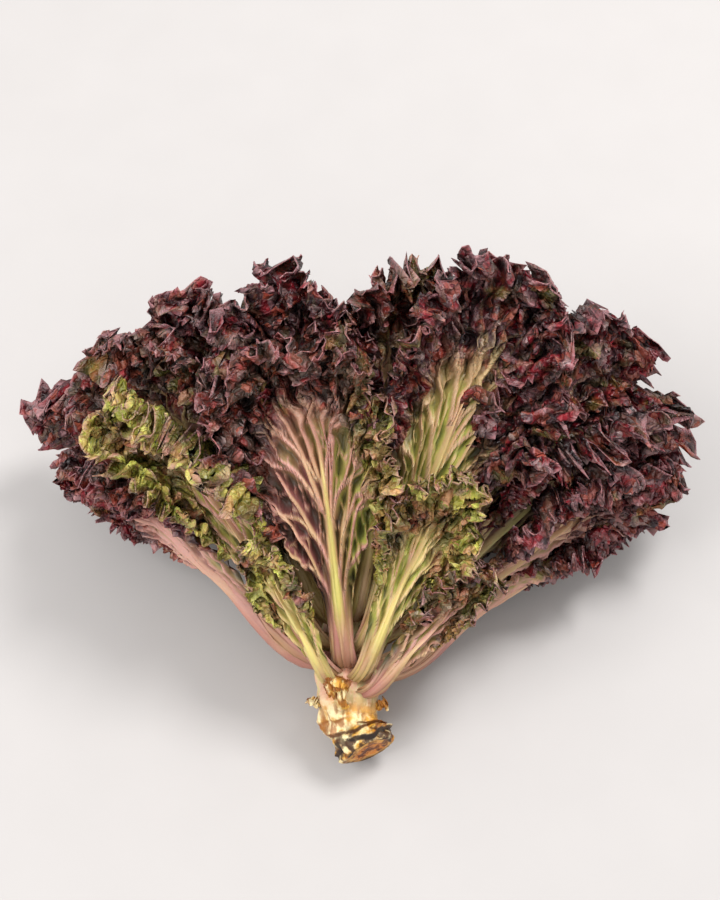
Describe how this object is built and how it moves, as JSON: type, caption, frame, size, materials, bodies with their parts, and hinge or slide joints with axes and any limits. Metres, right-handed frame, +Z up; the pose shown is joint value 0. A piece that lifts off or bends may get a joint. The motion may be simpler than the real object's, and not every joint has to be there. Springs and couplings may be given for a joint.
{
  "type": "red batavia lettuce",
  "caption": "Cut head of red batavia lettuce lying on its side, with a short cut stem and frilled burgundy leaves fanned out from it.",
  "frame": {"origin": "centre of the bounding box's underside, on the surface the head lies on", "axes": "+Y from the cut stem towards the leaf ends, +X across the fan of leaves, +Z up from the surface the head lies on"},
  "size_m": [0.2868, 0.203, 0.1456],
  "materials": {
    "leaf": "satin, burgundy leaf tissue",
    "stem": "moist, pale cream stem tissue with brown leaf scars"
  },
  "bodies": {
    "root": {"stem": "stem", "torn_stub_top": "stem", "torn_stub_left": "stem", "torn_stub_right": "stem", "small_left_leaf": "leaf", "small_right_leaf": "leaf", "small_middle_leaf": "leaf", "front_leaf": "leaf", "left_leaf": "leaf", "far_left_leaf": "leaf", "right_leaf": "leaf", "right_shoulder_leaf": "leaf", "centre_right_leaf": "leaf", "left_shoulder_leaf": "leaf", "left_side_leaf": "leaf", "right_side_leaf": "leaf", "back_left_leaf": "leaf", "back_right_leaf": "leaf", "right_crown_leaf": "leaf", "left_crown_leaf": "leaf", "under_left_leaf": "leaf", "under_right_leaf": "leaf", "lower_left_leaf": "leaf", "lower_right_leaf": "leaf", "under_middle_leaf": "leaf", "inner_top_leaf": "leaf", "inner_right_leaf": "leaf", "inner_left_leaf": "leaf", "inner_back_left_leaf": "leaf", "inner_back_right_leaf": "leaf", "inner_lower_right_leaf": "leaf", "heart_top_leaf": "leaf", "heart_left_leaf": "leaf", "heart_right_leaf": "leaf"}
  },
  "joints": []
}
